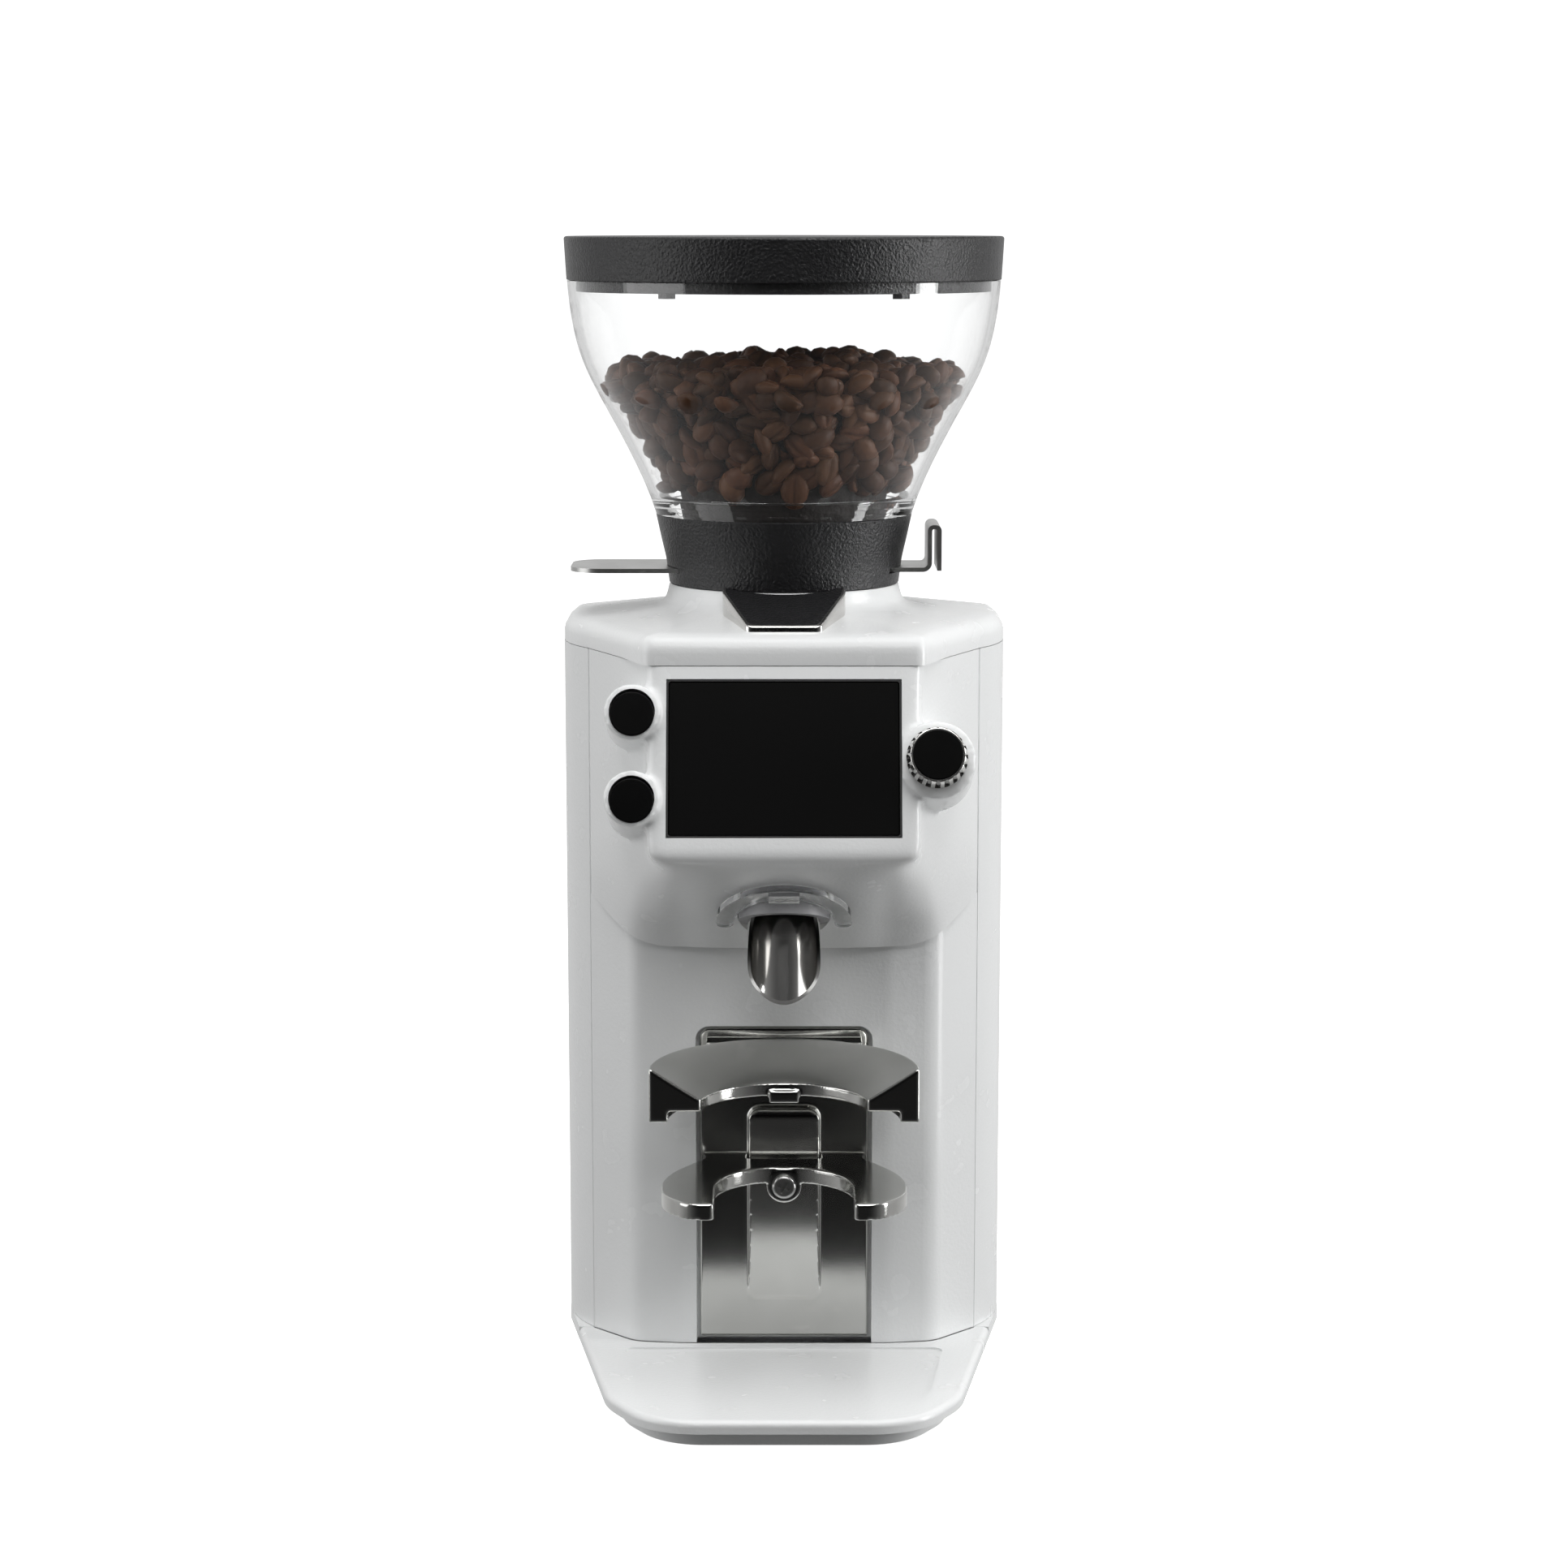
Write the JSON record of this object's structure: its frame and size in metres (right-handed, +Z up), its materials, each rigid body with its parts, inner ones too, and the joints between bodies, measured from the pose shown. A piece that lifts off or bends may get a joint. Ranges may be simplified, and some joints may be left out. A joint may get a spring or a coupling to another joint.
{
  "type": "burr coffee grinder",
  "caption": "Countertop on-demand burr coffee grinder with a clear lift-off hopper, slide gate, leaning display, adjusting knob, scooped chute, portafilter hook and fork, and a pull-out tray.",
  "frame": {"origin": "bottom centre of the footprint, on the surface that the feet stand on", "axes": "+Z up, the front (display, chute and holder) faces -Y, +X is to the right seen from the front"},
  "size_m": [0.195, 0.283, 0.498],
  "materials": {
    "white_coat": "satin powder coat with a fine orange-peel texture",
    "white_plastic": "satin, painted to match the covers",
    "black_grain": "leather-like moulded grain",
    "black_satin": "satin",
    "gloss_black": "gloss",
    "clear_plastic": "clear, polished",
    "coffee": "roasted beans, slight oil sheen",
    "bright_metal": "polished",
    "dark_nickel": "satin dark nickel",
    "steel": "brushed",
    "tool_steel": "ground",
    "cast_alloy": "as cast",
    "brass": "turned",
    "rubber": "matte",
    "display": "gloss, dark when off",
    "circuit": "green board with parts",
    "copper_iron": "varnished windings on laminations",
    "grey_plastic": "satin"
  },
  "bodies": {
    "stand": {"base_frame": "white_coat", "rubber_feet": "rubber", "bottom_plate": "steel", "bottom_screws": "steel", "side_shell": "white_coat", "shell_screws": "steel", "lower_front_panel": "white_coat", "head_housing": "white_coat", "top_cover": "white_coat", "badge_frame": "bright_metal", "badge_plate": "black_grain", "display_bezel": "black_satin", "display_glass": "display", "display_module": "circuit", "button_switches": "circuit", "knob_bushing": "brass", "chute_tube": "bright_metal", "chute_collar": "grey_plastic", "light_lens": "clear_plastic", "led_board": "circuit", "holder_plate": "dark_nickel", "holder_hook": "dark_nickel", "hook_screws": "steel", "load_cell": "cast_alloy", "motor_bracket": "steel", "motor_can": "cast_alloy", "stator": "copper_iron", "top_bearing": "steel", "bottom_bearing": "steel", "grind_chamber": "cast_alloy", "control_board": "circuit", "motor_capacitor": "black_satin", "power_inlet": "black_satin", "switch_frame": "black_satin"},
    "hopper": {"hopper_shell": "clear_plastic", "hopper_collar": "black_grain", "bean_fill": "coffee"},
    "lid": {"hopper_lid": "black_grain"},
    "gate": {"slide_gate": "steel"},
    "upper_button": {"upper_button": "gloss_black"},
    "lower_button": {"lower_button": "gloss_black"},
    "knob": {"knob_ring": "bright_metal", "knob_cap": "gloss_black", "knob_spindle": "steel"},
    "adjuster_nut": {"adjuster_nut": "brass"},
    "adjuster": {"adjuster_ring": "cast_alloy", "upper_burr": "tool_steel", "upper_burr_screws": "steel"},
    "burr_rotor": {"lower_burr": "tool_steel", "lower_burr_screws": "steel", "burr_carrier": "cast_alloy", "feed_auger": "steel", "drive_shaft": "steel", "rotor_core": "steel", "cooling_fan": "black_satin"},
    "fork": {"fork": "dark_nickel", "fork_screw": "bright_metal"},
    "tray": {"grounds_tray": "white_plastic"},
    "power_rocker": {"power_rocker": "gloss_black"}
  },
  "joints": [
    {"name": "hopper_lift", "type": "slide", "parent": "stand", "child": "hopper", "axis": [0, 0, 1], "range_m": [0, 0.06]},
    {"name": "lid_lift", "type": "slide", "parent": "hopper", "child": "lid", "axis": [0, 0, 1], "range_m": [0, 0.08]},
    {"name": "gate_slide", "type": "slide", "parent": "hopper", "child": "gate", "axis": [1, 0, 0], "range_m": [0, 0.041]},
    {"name": "upper_button_press", "type": "slide", "parent": "stand", "child": "upper_button", "axis": [0, 0.9573, -0.289], "range_m": [0, 0.0012], "stiffness_N_per_m": 1200},
    {"name": "lower_button_press", "type": "slide", "parent": "stand", "child": "lower_button", "axis": [0, 0.9573, -0.289], "range_m": [0, 0.0012], "stiffness_N_per_m": 1200},
    {"name": "knob_turn", "type": "hinge", "parent": "stand", "child": "knob", "pos_m": [0.0635, -0.08932, 0.28352], "axis": [0, -0.9573, 0.289], "range_deg": [-540, 540]},
    {"name": "nut_travel", "type": "slide", "parent": "stand", "child": "adjuster_nut", "axis": [0, 0.9573, -0.289], "range_m": [-0.0046, 0.0046]},
    {"name": "adjuster_turn", "type": "hinge", "parent": "stand", "child": "adjuster", "pos_m": [0, 0.015, 0.28], "axis": [0, 0, 1], "range_deg": [-4, 4]},
    {"name": "burr_spin", "type": "hinge", "parent": "stand", "child": "burr_rotor", "pos_m": [0, 0.015, 0.2], "axis": [0, 0, 1], "continuous": true},
    {"name": "fork_height", "type": "slide", "parent": "stand", "child": "fork", "axis": [0, 0, 1], "range_m": [-0.025, 0.012]},
    {"name": "tray_pull", "type": "slide", "parent": "stand", "child": "tray", "axis": [0, -1, 0], "range_m": [0, 0.12]},
    {"name": "rocker_tip", "type": "hinge", "parent": "stand", "child": "power_rocker", "pos_m": [-0.034, 0.1375, 0.046], "axis": [0, 0, -1], "range_deg": [0, 16]}
  ],
  "couplings": [
    {"joint": "nut_travel", "follows": "knob_turn", "m_per_rad": -0.00047746},
    {"joint": "adjuster_turn", "follows": "knob_turn", "ratio": -0.0071982}
  ]
}
